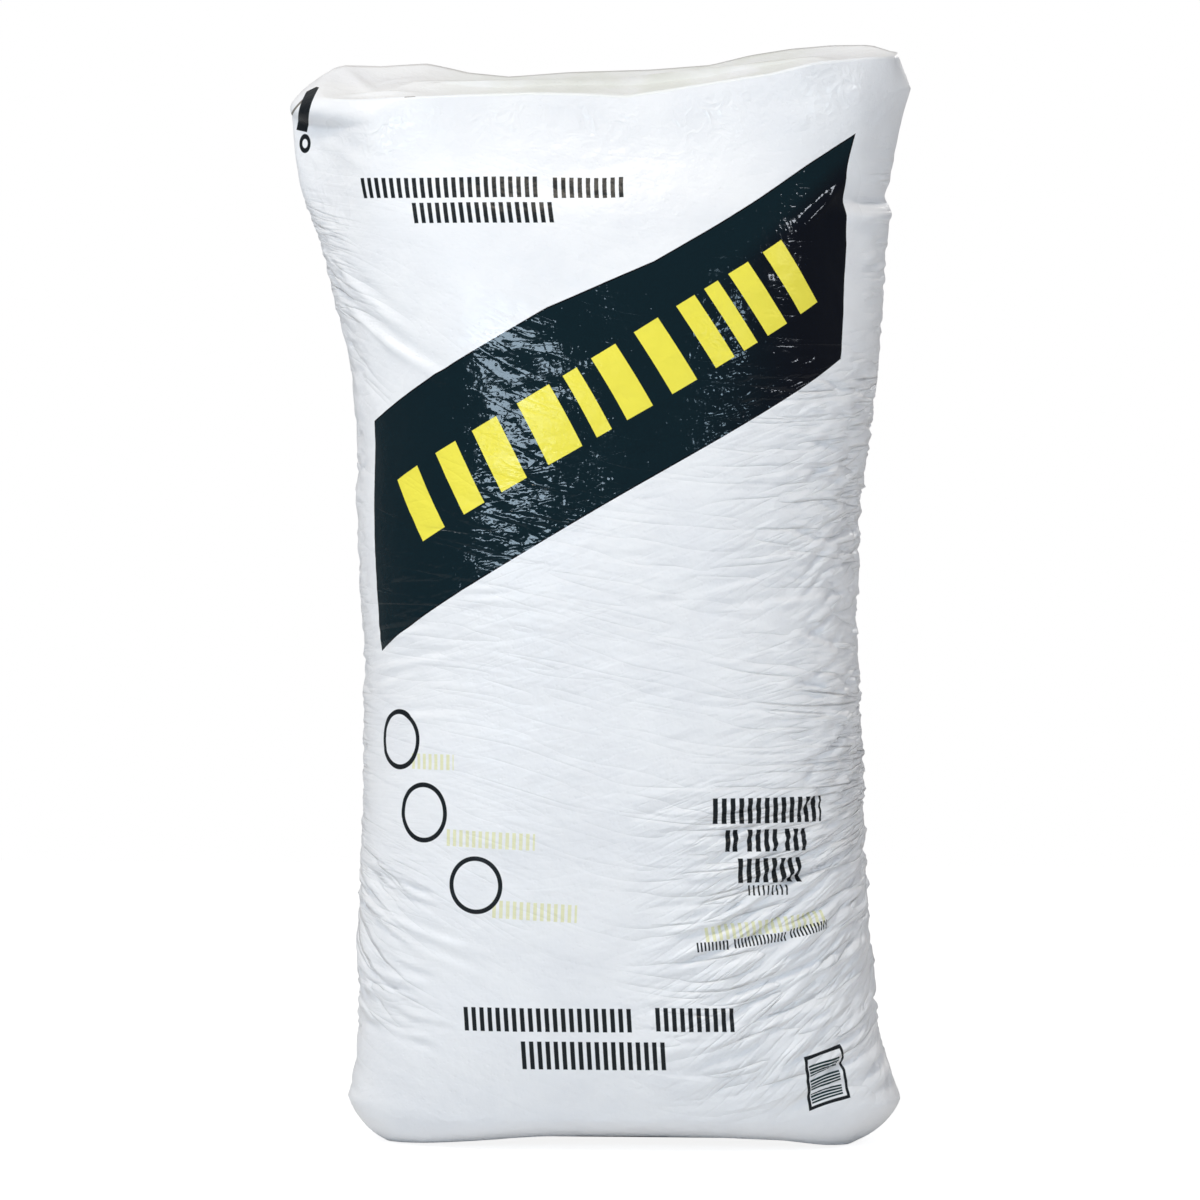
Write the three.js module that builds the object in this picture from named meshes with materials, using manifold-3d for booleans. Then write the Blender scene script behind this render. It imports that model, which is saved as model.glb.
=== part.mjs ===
// Tall film bag of loose vermiculite, filled tight and standing on its folded base.
// Millimetres, +Z up, front panel towards -Y, origin on the floor under the middle of the base.
import * as THREE from 'three';
import { LoftGeometry } from 'three/addons/geometries/LoftGeometry.js';
import { mergeVertices } from 'three/addons/utils/BufferGeometryUtils.js';
import Module from 'manifold-3d';

// Film tube: a full bag is narrower where it is deeper, because the girth stays the same.
const layFlatWidth = 635;
const bagHeight = 985; // floor to the top crease, before the crease's own rise and fall
const leanBack = 22; // how far the top lies behind the base

// Cross-sections of the wall. A higher squareness gives a flatter panel, 1 a straight slope.
// squareAcross flattens the front and back, squareDeep the two sides.
const heel = { height: 38, depth: 240, shift: 7, squareAcross: 3.0, squareDeep: 3.0 };
const lowWall = { height: 170, depth: 277, shift: 0, squareAcross: 2.8, squareDeep: 2.8 };
const belly = { height: 420, depth: 312, shift: -3, squareAcross: 2.5, squareDeep: 2.5 };
const chest = { drop: 390, depth: 308, shift: -8, squareAcross: 2.5, squareDeep: 2.4 };
const shoulder = { drop: 285, depth: 294, shift: -3, squareAcross: 2.5, squareDeep: 2.2 };
const neck = { drop: 172, depth: 262, shift: -11, squareAcross: 2.8, squareDeep: 1.7 };
const collar = { drop: 80, depth: 217, shift: -21, squareAcross: 3.2, squareDeep: 1.4 };
const ears = { drop: 30, depth: 189, shift: -16, squareAcross: 3.4, squareDeep: 1.3 };

// Folded base: a rounded heel, and a panel whose long edges arch off the floor.
const basePanel = { width: 426, depth: 165, shift: 4, squareAcross: 5, squareDeep: 3 };
const baseArch = { left: 7, middle: 30, right: 10 }; // heights of the long edges
const restPatch = { width: 396, depth: 104 }; // the flat that lies on the floor

// Folded top: the end panel inside the top crease. It slopes up to the rear.
const topPanel = { width: 521, depth: 165, shift: -3, squareAcross: 6, squareDeep: 4 };
const panelSag = 7; // the gutter between the crease and the panel's raised middle
const frontCrease = { left: -26, middle: -17, right: 16 }; // heights above bagHeight
const rearCrease = { left: 35, middle: 9, right: 36 };

// The end panel is closed by its rear flap, glued down past the middle of the panel. lift is the
// height of its edge, and sunk how far its slab reaches into the panel.
const flap = { lift: 1.6, sunk: 4, overlap: 16, rearGap: 6, endGap: 46 };

// Mouth of the valve sleeve, a slit in the slope between the left ear and the top crease
const valveMouth = { opening: 4, reach: 26, width: 70, belowCrease: 13, slope: 42 };

// Fineness of the surface
const pointsRound = 56;
const wallRings = 32;
const heelRings = 4;
const panelRings = 4;
const innermostRing = 0.94; // how far in the panel's last ring lies, 1 being the middle seam
const flapSteps = 20;
const flapColumns = 4;
const outlineSamples = 720;
const widthTolerance = 0.01;

const girth = 2 * layFlatWidth;

// Superellipse |x / halfWidth|^squareAcross + |y / halfDepth|^squareDeep = 1, from the left
// crease round by the front.
function outline(halfWidth, halfDepth, squareAcross, squareDeep) {
	return Array.from({ length: outlineSamples + 1 }, (_, i) => {
		const angle = Math.PI + (2 * Math.PI * i) / outlineSamples;
		const c = Math.cos(angle);
		const s = Math.sin(angle);
		return new THREE.Vector2(
			halfWidth * Math.sign(c) * Math.abs(c) ** (2 / squareAcross),
			halfDepth * Math.sign(s) * Math.abs(s) ** (2 / squareDeep),
		);
	});
}

function lengthsAlong(points) {
	const lengths = [0];
	for (let i = 1; i < points.length; i++) {
		lengths.push(lengths[i - 1] + points[i].distanceTo(points[i - 1]));
	}
	return lengths;
}

// Half the width that a film tube of this girth has where it is this deep, by halving.
function halfWidthFor(halfDepth, squareAcross, squareDeep) {
	let narrow = 0;
	let wide = girth / 4;
	while (wide - narrow > widthTolerance) {
		const middle = (narrow + wide) / 2;
		const round = lengthsAlong(outline(middle, halfDepth, squareAcross, squareDeep)).at(-1);
		if (round < girth) narrow = middle;
		else wide = middle;
	}
	return narrow;
}

// Points at equal steps of length round the outline, so that each follows one thread of the film.
function evenOutline(halfWidth, halfDepth, squareAcross, squareDeep) {
	const fine = outline(halfWidth, halfDepth, squareAcross, squareDeep);
	const lengths = lengthsAlong(fine);
	const even = [];
	let k = 0;
	for (let i = 0; i < pointsRound; i++) {
		const target = (lengths.at(-1) * i) / pointsRound;
		while (lengths[k + 1] <= target) k++;
		const share = (target - lengths[k]) / (lengths[k + 1] - lengths[k]);
		even.push(fine[k].clone().lerp(fine[k + 1], share));
	}
	return even;
}

// A quadratic through left, middle and right at t = -1, 0 and 1
function bow({ left, middle, right }, t) {
	return middle + (t * (right - left)) / 2 + t * t * ((left + right) / 2 - middle);
}

// How far the top crease rises above bagHeight at a point of the end panel
function creaseRise(across, deep) {
	return THREE.MathUtils.lerp(bow(frontCrease, across), bow(rearCrease, across), (1 + deep) / 2);
}

// Height of the top panel's surface at a point, with its gutter inside the crease. inward is the
// point's way in from the crease, from 0 to 1 at the middle seam.
function topPanelHeight(x, y, inward) {
	const across = (x - topPanel.shift) / (topPanel.width / 2);
	const deep = (y - leanBack) / (topPanel.depth / 2);
	return bagHeight - panelSag * Math.sin(inward * Math.PI) + creaseRise(across, deep);
}

function leanAt(height) {
	return leanBack * THREE.MathUtils.smoothstep(height, 0, bagHeight);
}

// One ring of the loft, standing lean behind the base. riseAt gives the height of a point from
// its place across and deep, both from -1 to 1.
function ring({ halfWidth, halfDepth, shift, squareAcross, squareDeep }, lean, riseAt) {
	return evenOutline(halfWidth, halfDepth, squareAcross, squareDeep).map(
		({ x, y }) => new THREE.Vector3(x + shift, y + lean, riseAt(x / halfWidth, y / halfDepth)),
	);
}

// An end panel's outline, or the same outline moved inward by that share of half its depth
function panelSection({ width, depth, shift, squareAcross, squareDeep }, inward) {
	const halfDepth = (depth / 2) * (1 - inward);
	const halfWidth = (width - depth * inward) / 2;
	return { halfWidth, halfDepth, shift, squareAcross, squareDeep };
}

// The wall's cross-section at any height, smoothly between the named ones
const stations = [heel, lowWall, belly, chest, shoulder, neck, collar, ears];
const heightOf = (station) => station.height ?? bagHeight - station.drop;
const between = new THREE.CubicInterpolant(
	stations.map(heightOf),
	stations.flatMap((s) => [s.depth, s.shift, s.squareAcross, s.squareDeep]),
	4,
	new Float64Array(4),
);

function wallSection(height) {
	const [depth, shift, squareAcross, squareDeep] = between.evaluate(height);
	const halfDepth = depth / 2;
	const halfWidth = halfWidthFor(halfDepth, squareAcross, squareDeep);
	return { halfWidth, halfDepth, shift, squareAcross, squareDeep };
}

// The section a share of the way from one to another
function blend(from, to, share) {
	const mix = (key) => THREE.MathUtils.lerp(from[key], to[key], share);
	return Object.fromEntries(Object.keys(from).map((key) => [key, mix(key)]));
}

// Base: the flat patch the bag rests on, then the panel out to its edge and the rounded heel
function baseSections() {
	const edge = panelSection(basePanel, 0);
	const patch = { ...edge, halfWidth: restPatch.width / 2, halfDepth: restPatch.depth / 2 };
	const foot = wallSection(heel.height);
	const arch = (across, deep) => bow(baseArch, across) * Math.abs(deep);
	const sections = [ring(patch, 0, () => 0)];
	for (let i = 0; i < heelRings; i++) {
		const turn = (i / heelRings) * (Math.PI / 2);
		const up = 1 - Math.cos(turn);
		const riseAt = (across, deep) => THREE.MathUtils.lerp(arch(across, deep), heel.height, up);
		sections.push(ring(blend(edge, foot, Math.sin(turn)), 0, riseAt));
	}
	return sections;
}

// Wall: from the heel up to the ears, where the rings take on the slant of the top crease
function wallSections() {
	const top = heightOf(ears);
	return Array.from({ length: wallRings + 1 }, (_, i) => {
		const height = THREE.MathUtils.lerp(heel.height, top, i / wallRings);
		const slant = THREE.MathUtils.smoothstep(height, heightOf(neck), bagHeight);
		const riseAt = (across, deep) => height + slant * creaseRise(across, deep);
		return ring(wallSection(height), leanAt(height), riseAt);
	});
}

// Top: the crease of the end panel, then the panel in to its middle seam
function topSections() {
	return Array.from({ length: panelRings + 1 }, (_, i) => {
		const inward = (innermostRing * i) / panelRings;
		const section = panelSection(topPanel, inward);
		return ring(section, leanBack, () => 0).map((p) => p.setZ(topPanelHeight(p.x, p.y, inward)));
	});
}

function filledTube() {
	const sections = [...baseSections(), ...wallSections(), ...topSections()];
	return new LoftGeometry(sections, { closed: true, capStart: true, capEnd: true });
}

// The rear flap as a low slab on the end panel. Its ends run in at 45 degrees from the corners.
function rearFlap() {
	const rear = leanBack + topPanel.depth / 2 - flap.rearGap;
	const front = leanBack - flap.overlap;
	const reach = topPanel.width / 2 - flap.endGap;
	const leastWidth = flap.rearGap;
	const surface = (x, y) => {
		const fromRear = 1 - (y - leanBack) / (topPanel.depth / 2);
		const fromEnd = (topPanel.width / 2 - Math.abs(x - topPanel.shift)) / (topPanel.depth / 2);
		return topPanelHeight(x, y, Math.min(fromRear, fromEnd, 1));
	};
	const sections = Array.from({ length: flapSteps + 1 }, (_, i) => {
		const fromMiddle = -reach * Math.cos((Math.PI * i) / flapSteps);
		const x = topPanel.shift + fromMiddle;
		const edge = Math.max(front, rear - leastWidth - (reach - Math.abs(fromMiddle)));
		const across = (share, lift) => {
			const y = THREE.MathUtils.lerp(edge, rear, share);
			return new THREE.Vector3(x, y, surface(x, y) + lift);
		};
		const shares = Array.from({ length: flapColumns + 1 }, (_, k) => k / flapColumns);
		const under = shares.map((share) => across(share, -flap.sunk));
		const over = shares.map((share) => across(1 - share, flap.lift));
		return [...under, ...over];
	});
	return new LoftGeometry(sections, { closed: true, capStart: true, capEnd: true });
}

// The slit of the valve as a wedge, its open side out through the slope above the left ear
function valveSlit() {
	const { opening, reach, width, belowCrease, slope } = valveMouth;
	const wedge = new THREE.Shape([
		new THREE.Vector2(reach, 0),
		new THREE.Vector2(-opening, opening / 2),
		new THREE.Vector2(-opening, -opening / 2),
	]);
	const slit = new THREE.ExtrudeGeometry(wedge, { depth: width, bevelEnabled: false });
	slit.translate(0, 0, -width / 2).rotateX(Math.PI / 2);
	slit.rotateY(THREE.MathUtils.degToRad(slope));
	const x = topPanel.shift - topPanel.width / 2 - belowCrease;
	return slit.translate(x, leanBack, bagHeight - belowCrease);
}

const wasm = await Module();
wasm.setup();

function toSolid(geometry) {
	const bare = new THREE.BufferGeometry();
	bare.setAttribute('position', geometry.attributes.position);
	bare.setIndex(geometry.index);
	const merged = mergeVertices(bare);
	const vertProperties = merged.attributes.position.array;
	const triVerts = Uint32Array.from(merged.index.array);
	return new wasm.Manifold(new wasm.Mesh({ numProp: 3, vertProperties, triVerts }));
}

function toGeometry(solid) {
	const { vertProperties, triVerts } = solid.getMesh();
	const geometry = new THREE.BufferGeometry();
	geometry.setAttribute('position', new THREE.BufferAttribute(vertProperties, 3));
	geometry.setIndex(new THREE.BufferAttribute(triVerts, 1));
	geometry.computeVertexNormals();
	return geometry;
}

function filledBag() {
	return toGeometry(toSolid(filledTube()).add(toSolid(rearFlap())).subtract(toSolid(valveSlit())));
}

const bagFilm = new THREE.MeshStandardMaterial({ color: 0xf0f1f4, roughness: 0.35, metalness: 0 });
const bag = new THREE.Mesh(filledBag(), bagFilm);
bag.name = 'filled_bag';

const group = new THREE.Group();
group.add(bag);

export default group;
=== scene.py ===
import math

import bpy
import numpy as np
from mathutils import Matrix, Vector


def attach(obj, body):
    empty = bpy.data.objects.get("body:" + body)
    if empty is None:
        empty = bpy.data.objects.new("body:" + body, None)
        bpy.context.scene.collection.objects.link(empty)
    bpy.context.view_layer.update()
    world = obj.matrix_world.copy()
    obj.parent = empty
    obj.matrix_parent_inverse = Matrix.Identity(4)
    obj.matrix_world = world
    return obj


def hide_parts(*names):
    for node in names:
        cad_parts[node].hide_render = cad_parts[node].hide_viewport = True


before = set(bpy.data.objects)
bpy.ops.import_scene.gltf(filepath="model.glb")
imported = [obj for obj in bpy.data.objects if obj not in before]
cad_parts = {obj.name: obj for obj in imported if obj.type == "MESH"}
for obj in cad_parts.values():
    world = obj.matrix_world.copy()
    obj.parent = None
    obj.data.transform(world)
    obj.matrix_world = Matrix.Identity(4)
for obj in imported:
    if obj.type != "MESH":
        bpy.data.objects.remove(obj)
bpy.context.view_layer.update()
print("frame loaded")

# Film tube. Columns run from the left crease round by the front, rows from the base up.
tube = {
    "girth": 1.27,
    "height": 0.973,
    "lean": 0.022,
    "frontColumns": 168,
    "rearColumns": 84,
    "wallRows": 336,
    "heelRows": 12,
    "brimRows": 9,
    "panelRows": 20,
    "baseRows": 12,
    "panelEnd": 0.94,
}
# Each row: height, depth, shift to the right, squareness across, squareness deep
stations = np.array([
    (0.046, 0.228, 0.007, 3.0, 3.0),
    (0.090, 0.262, 0.004, 2.9, 2.9),
    (0.165, 0.278, 0.000, 2.8, 2.8),
    (0.410, 0.312, -0.003, 2.5, 2.5),
    (0.583, 0.308, -0.008, 2.5, 2.4),
    (0.688, 0.294, -0.003, 2.5, 2.2),
    (0.801, 0.262, -0.011, 2.8, 1.7),
    (0.893, 0.217, -0.021, 3.2, 1.4),
    (0.943, 0.189, -0.016, 3.4, 1.3),
])
basePanel = {"width": 0.436, "depth": 0.165, "shift": 0.004, "squareAcross": 5, "squareDeep": 3}
topPanel = {"width": 0.521, "depth": 0.165, "shift": -0.003, "squareAcross": 6, "squareDeep": 4, "sag": 0.007}
# Left ear: the end of the top panel reaches further out, and the slope under it bulges
ear = {"from": 0.15, "to": 0.27, "spread": 0.011, "bulge": 0.012}
# Neck under the top panel: the outline squares up towards the panel's between these heights
neck = {"from": 0.845, "to": 0.943, "square": 0.50, "rise": 0.801}
# Both ears are pinched flat, the left one more, and the panel narrows towards both its ends
pinch = {"from": 0.215, "to": 0.290, "low": 0.790, "high": 0.935, "left": 0.66, "right": 0.50}
narrowing = {"from": 0.17, "to": 0.27, "amount": 0.30}
# Foot of the wall: lower in the middle of the long sides than at the corners
foot = {"drop": 0.017, "cornerDrop": 0.006, "from": 0.12, "to": 0.20, "reach": 0.075, "straight": 0.5}
# Rise of the two long top creases over the tube's height: place across, rise
frontCrease = np.array([
    (-0.262, -0.026), (-0.237, -0.022), (-0.200, -0.019), (-0.136, -0.016), (-0.074, -0.014),
    (-0.029, -0.015), (0.014, -0.017), (0.057, -0.011), (0.101, -0.004), (0.144, 0.002),
    (0.186, 0.012), (0.229, 0.016), (0.259, 0.017),
])
rearCrease = np.array([
    (-0.276, 0.019), (-0.258, 0.025), (-0.220, 0.021), (-0.182, 0.023), (-0.145, 0.014),
    (-0.107, 0.010), (-0.051, 0.014), (0.025, 0.016), (0.081, 0.020), (0.119, 0.029),
    (0.157, 0.035), (0.194, 0.038), (0.232, 0.038), (0.251, 0.032),
])
# Folds and the tuck on the left end of the top panel: place across, place deep, turn, length, width, rise
panelFolds = [
    (-0.213, -0.032, 2, 0.085, 0.007, 0.0060), (-0.232, 0.015, -62, 0.10, 0.007, 0.0045),
    (-0.205, 0.030, 38, 0.07, 0.006, 0.0030), (-0.150, 0.000, 24, 0.09, 0.008, 0.0025),
]
# Height of the base's long edges over the floor: place across, height
baseArch = np.array([
    (-0.213, 0.002), (-0.207, 0.001), (-0.170, 0.003), (-0.130, 0.006), (-0.090, 0.009),
    (-0.060, 0.011), (-0.005, 0.012), (0.050, 0.012), (0.105, 0.011), (0.160, 0.009),
    (0.195, 0.004), (0.215, 0.003), (0.225, 0.008),
])


# Smooth step: 3t^2 - 2t^3, t running from 0 at low to 1 at high
def smoothStep(x, low, high):
    t = np.clip((x - low) / (high - low), 0, 1)
    return t * t * (3 - 2 * t)


# Smooth curve through the stations: a cubic between each pair, slopes taken from the neighbours
def wallAt(height):
    at, values = stations[:, 0], stations[:, 1:]
    slope = np.gradient(values, at, axis=0)
    k = np.clip(np.searchsorted(at, height) - 1, 0, len(at) - 2)
    span = (at[k + 1] - at[k])[:, None]
    t = (height[:, None] - at[k][:, None]) / span
    return (
        values[k] * (1 + 2 * t) * (1 - t) ** 2
        + slope[k] * span * t * (1 - t) ** 2
        + values[k + 1] * t * t * (3 - 2 * t)
        + slope[k + 1] * span * t * t * (t - 1)
    )


frontShare = np.linspace(0, 0.5, tube["frontColumns"], endpoint=False)
rearShare = np.linspace(0.5, 1, tube["rearColumns"], endpoint=False)
columnShare = np.concatenate([frontShare, rearShare])  # share of the girth, from the left crease
columns = len(columnShare)
angles = np.pi + np.linspace(0, 2 * np.pi, 721)


# Superellipses |x/a|^p + |y/b|^q = 1, resampled at the columns' shares of their length. Where no
# half width a is given, it is halved down to the one that makes the length the girth.
def ringOutlines(halfDepth, squareAcross, squareDeep, halfWidth=None):
    c, s = np.cos(angles), np.sin(angles)
    unitX = np.sign(c) * np.abs(c) ** (2 / squareAcross[:, None])
    y = halfDepth[:, None] * np.sign(s) * np.abs(s) ** (2 / squareDeep[:, None])

    def lengthsFor(a):
        steps = np.hypot(np.diff(a[:, None] * unitX, axis=1), np.diff(y, axis=1))
        return np.concatenate([np.zeros((len(steps), 1)), np.cumsum(steps, axis=1)], axis=1)

    if halfWidth is None:
        narrow, wide = np.zeros(len(y)), np.full(len(y), tube["girth"] / 4)
        for _ in range(24):
            middle = (narrow + wide) / 2
            short = lengthsFor(middle)[:, -1] < tube["girth"]
            narrow, wide = np.where(short, middle, narrow), np.where(short, wide, middle)
        halfWidth = narrow
    lengths = lengthsFor(halfWidth)
    x = halfWidth[:, None] * unitX
    ringX = np.array([np.interp(columnShare * l[-1], l, row) for l, row in zip(lengths, x)])
    ringY = np.array([np.interp(columnShare * l[-1], l, row) for l, row in zip(lengths, y)])
    return ringX, ringY, halfWidth


# One end panel's rings moved inward by shares of half its depth
def panelRings(panel, inward):
    halfDepth = panel["depth"] / 2 * (1 - inward)
    halfWidth = (panel["width"] - panel["depth"] * inward) / 2
    one = np.ones(len(inward))
    x, y, _ = ringOutlines(halfDepth, one * panel["squareAcross"], one * panel["squareDeep"], halfWidth)
    return x + panel["shift"], y


# How far the foot of the wall lies below its height at the corners
def footDrop(x):
    return foot["drop"] - (foot["drop"] - foot["cornerDrop"]) * smoothStep(np.abs(x), foot["from"], foot["to"])


# Base panel from its middle out, then the heel up to the foot of the wall: a mix of a quarter turn,
# sin(turn) outward and 1 - cos(turn) upward, and a straight slope.
def baseSurface():
    x, y = panelRings(basePanel, np.linspace(tube["panelEnd"], 0, tube["baseRows"], endpoint=False))
    deep = y / (basePanel["depth"] / 2)
    z = np.interp(x, *baseArch.T) * np.abs(deep)
    share = np.linspace(0, 1, tube["heelRows"], endpoint=False)[:, None]
    turn, straight = share * np.pi / 2, foot["straight"]
    out = (1 - straight) * np.sin(turn) + straight * share
    up = (1 - straight) * (1 - np.cos(turn)) + straight * share
    low = wallAt(stations[:1, 0])[0]
    lowWidth = ringOutlines(low[:1] / 2, low[2:3], low[3:4])[2][0]
    edge = np.array([
        basePanel["width"] / 2, basePanel["depth"] / 2, basePanel["shift"],
        basePanel["squareAcross"], basePanel["squareDeep"],
    ])
    wall = np.array([lowWidth, low[0] / 2, low[1], low[2], low[3]])
    rows = edge + (wall - edge) * out
    hx, hy, _ = ringOutlines(rows[:, 1], rows[:, 3], rows[:, 4], rows[:, 0])
    arch = np.interp(hx + rows[:, 2:3], *baseArch.T) * np.abs(hy / rows[:, 1:2])
    hz = arch + (stations[0, 0] - footDrop(hx) - arch) * up
    pairs = (x, hx + rows[:, 2:3]), (y, hy), (z, hz)
    return np.stack([np.concatenate(pair) for pair in pairs], axis=2)


# Rise of the top crease at a point: between the front crease and the rear one, by its place deep
def creaseRise(x, deep):
    front, rear = np.interp(x, *frontCrease.T), np.interp(x, *rearCrease.T)
    return front + (rear - front) * (1 + deep) / 2


# Wall rings: the sections at each height, leaning back, with the top crease's rise let in above
# the neck by a smooth step.
def wallSurface():
    height = np.linspace(stations[0, 0], stations[-1, 0], tube["wallRows"])
    depth, shift, across, deepness = wallAt(height).T
    x, y, halfWidth = ringOutlines(depth / 2, across, deepness)
    square = neck["square"] * smoothStep(height, neck["from"], neck["to"])[:, None]
    panelX, panelY = panelRings(topPanel, np.zeros(1))
    panelX = (panelX - topPanel["shift"]) * halfWidth[:, None] * 2 / topPanel["width"]
    x, y = x + square * (panelX - x), y + square * (panelY - y)
    slant = smoothStep(height, neck["rise"], tube["height"])[:, None]
    place = x / halfWidth[:, None] * topPanel["width"] / 2
    z = height[:, None] + slant * creaseRise(place, np.clip(y / (depth[:, None] / 2), -1, 1))
    settle = 1 - smoothStep(height, stations[0, 0], stations[0, 0] + foot["reach"])[:, None]
    z = z - footDrop(x) * settle
    ends = smoothStep(np.abs(x + shift[:, None]), pinch["from"], pinch["to"])
    flat = ends * smoothStep(height, pinch["low"], pinch["high"])[:, None]
    lean = tube["lean"] * smoothStep(height, 0, tube["height"])[:, None]
    y = y * (1 - np.where(x < 0, pinch["left"], pinch["right"]) * flat) + lean
    return np.stack([x + shift[:, None], y, z], axis=2), height


# Top panel from the crease in, dipping by sag sin(pi inward) inside the crease
def topSurface(last):
    inward = np.linspace(0, tube["panelEnd"], tube["panelRows"])
    x, y = panelRings(topPanel, inward)
    deep = y / (topPanel["depth"] / 2)
    z = tube["height"] - topPanel["sag"] * np.sin(np.pi * inward)[:, None] + creaseRise(x, deep)
    y = y * (1 - narrowing["amount"] * smoothStep(np.abs(x), narrowing["from"], narrowing["to"]))
    for foldX, foldY, turn, length, width, rise in panelFolds:
        c, s = math.cos(math.radians(turn)), math.sin(math.radians(turn))
        q = ((x - foldX) * c + (y - foldY) * s) / (length / 2)
        t = ((y - foldY) * c - (x - foldX) * s) / width
        z = z + rise * np.clip(1 - q * q, 0, 1) ** 2 * np.exp(-np.abs(t) ** 1.3)
    panel = np.stack([x, y + tube["lean"], z], axis=2)
    panel[:, :, 0] -= ear["spread"] * smoothStep(-panel[:, :, 0], ear["from"], ear["to"])
    share = np.linspace(0, 1, tube["brimRows"] + 1, endpoint=False)[1:, None, None]
    brim = last + (panel[0] - last) * share
    reach = smoothStep(-brim[:, :, 0], ear["from"], ear["to"])
    brim[:, :, 0] -= ear["bulge"] * np.sin(np.pi * share[:, :, 0]) * reach
    return np.concatenate([brim, panel])


wall, wallHeight = wallSurface()
base, top = baseSurface(), topSurface(wall[-1])
smoothBag = np.concatenate([base, wall, top])
firstTop = len(base) + len(wall)
rowCount = len(smoothBag)
print("bag surface", smoothBag.shape)

# Film places: across from the middle of the front, and up the film. The heel's heights are drawn
# out to meet the wall's, and the brim's run evenly from the wall's to the top panel's.
rowUp = 0.004  # metres up the film for each row of the top panel
brimEnd = tube["brimRows"] - 1
filmAcross = columnShare * tube["girth"] - tube["girth"] / 4
heelUp = base[:, columns // 4, 2] * stations[0, 0] / (stations[0, 0] - foot["drop"])
topUp = np.interp(
    np.arange(len(top)), (-1, brimEnd, len(top)),
    (wallHeight[-1], tube["height"] + brimEnd * rowUp, tube["height"] + len(top) * rowUp),
)
filmUp = np.concatenate([heelUp, wallHeight, topUp])


# Normals of the grid: the cross product of its steps round and up
def gridNormals(grid):
    around = np.roll(grid, -1, axis=1) - np.roll(grid, 1, axis=1)
    upward = np.gradient(grid, axis=0)
    n = np.cross(around, upward)
    return n / np.maximum(np.linalg.norm(n, axis=2, keepdims=True), 1e-12)


# Closed mesh of a grid: quads between its rows, and a fan to the mean point of each end row. The
# film map holds the places across and up the film.
def gridMesh(name, grid, across, up):
    rows, cols = grid.shape[:2]
    points = np.concatenate([grid.reshape(-1, 3), grid[:1].mean(axis=1), grid[-1:].mean(axis=1)])
    r, c = np.meshgrid(np.arange(rows - 1), np.arange(cols), indexing="ij")
    n = (c + 1) % cols
    quads = np.stack([r * cols + c, r * cols + n, (r + 1) * cols + n, (r + 1) * cols + c], axis=2).reshape(-1, 4)
    ring = np.arange(cols)
    nextOne = (ring + 1) % cols
    low = np.stack([np.full(cols, rows * cols), nextOne, ring], axis=1)
    last = (rows - 1) * cols
    high = np.stack([np.full(cols, rows * cols + 1), last + ring, last + nextOne], axis=1)
    loops = np.concatenate([quads.ravel(), low.ravel(), high.ravel()])
    sizes = np.concatenate([np.full(len(quads), 4), np.full(2 * cols, 3)])
    starts = np.concatenate([[0], np.cumsum(sizes)[:-1]])
    mesh = bpy.data.meshes.new(name)
    mesh.vertices.add(len(points))
    mesh.vertices.foreach_set("co", points.astype(np.float32).ravel())
    mesh.loops.add(len(loops))
    mesh.loops.foreach_set("vertex_index", loops.astype(np.int32))
    mesh.polygons.add(len(sizes))
    mesh.polygons.foreach_set("loop_start", starts.astype(np.int32))
    mesh.update(calc_edges=True)
    mesh.validate()
    mesh.polygons.foreach_set("use_smooth", np.ones(len(sizes), dtype=bool))
    closed = np.append(across, across[0] + tube["girth"])
    quadAcross = np.stack([closed[c], closed[c + 1], closed[c + 1], closed[c]], axis=2).reshape(-1, 4)
    quadUp = np.stack([up[r], up[r], up[r + 1], up[r + 1]], axis=2).reshape(-1, 4)
    lowAcross = np.stack([closed[ring], closed[ring + 1], closed[ring]], axis=1)
    highAcross = np.stack([closed[ring], closed[ring], closed[ring + 1]], axis=1)
    pairs = (quadAcross, quadUp), (lowAcross, np.full((cols, 3), up[0])), (highAcross, np.full((cols, 3), up[-1]))
    uv = np.concatenate([np.stack(pair, axis=2).reshape(-1, 2) for pair in pairs])
    mesh.uv_layers.new(name="film").data.foreach_set("uv", uv.astype(np.float32).ravel())
    thing = bpy.data.objects.new(name, mesh)
    bpy.context.scene.collection.objects.link(thing)
    return thing


# Folds are strokes on the film: each is a ridge with a valley beside it,
# rise (1 - q^2)^2 (exp(-|t|^1.3) - drop exp(-(t - 1.5)^2)), q along the stroke and t across it.
def addStroke(relief, across, up, stroke):
    x, z, turn, length, width, rise, bend, drop = stroke
    c, s = math.cos(math.radians(turn)), math.sin(math.radians(turn))
    reachX = abs(c) * length / 2 + abs(s) * width * 4 + 0.002
    reachZ = abs(s) * length / 2 + abs(c) * width * 4 + 0.002
    cols = np.flatnonzero(np.abs(across - x) < reachX)
    rows = np.flatnonzero(np.abs(up - z) < reachZ)
    if not len(cols) or not len(rows):
        return
    dx, dz = np.meshgrid(across[cols] - x, up[rows] - z)
    q = (dx * c + dz * s) / (length / 2)
    t = (dz * c - dx * s - bend * (q * q - 0.5)) / width
    taper = np.clip(1 - q * q, 0, 1) ** 2
    profile = np.exp(-(np.abs(t) ** 1.3)) - drop * np.exp(-((t - 1.5) ** 2))
    relief[np.ix_(rows, cols)] += rise * taper * profile


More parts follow.
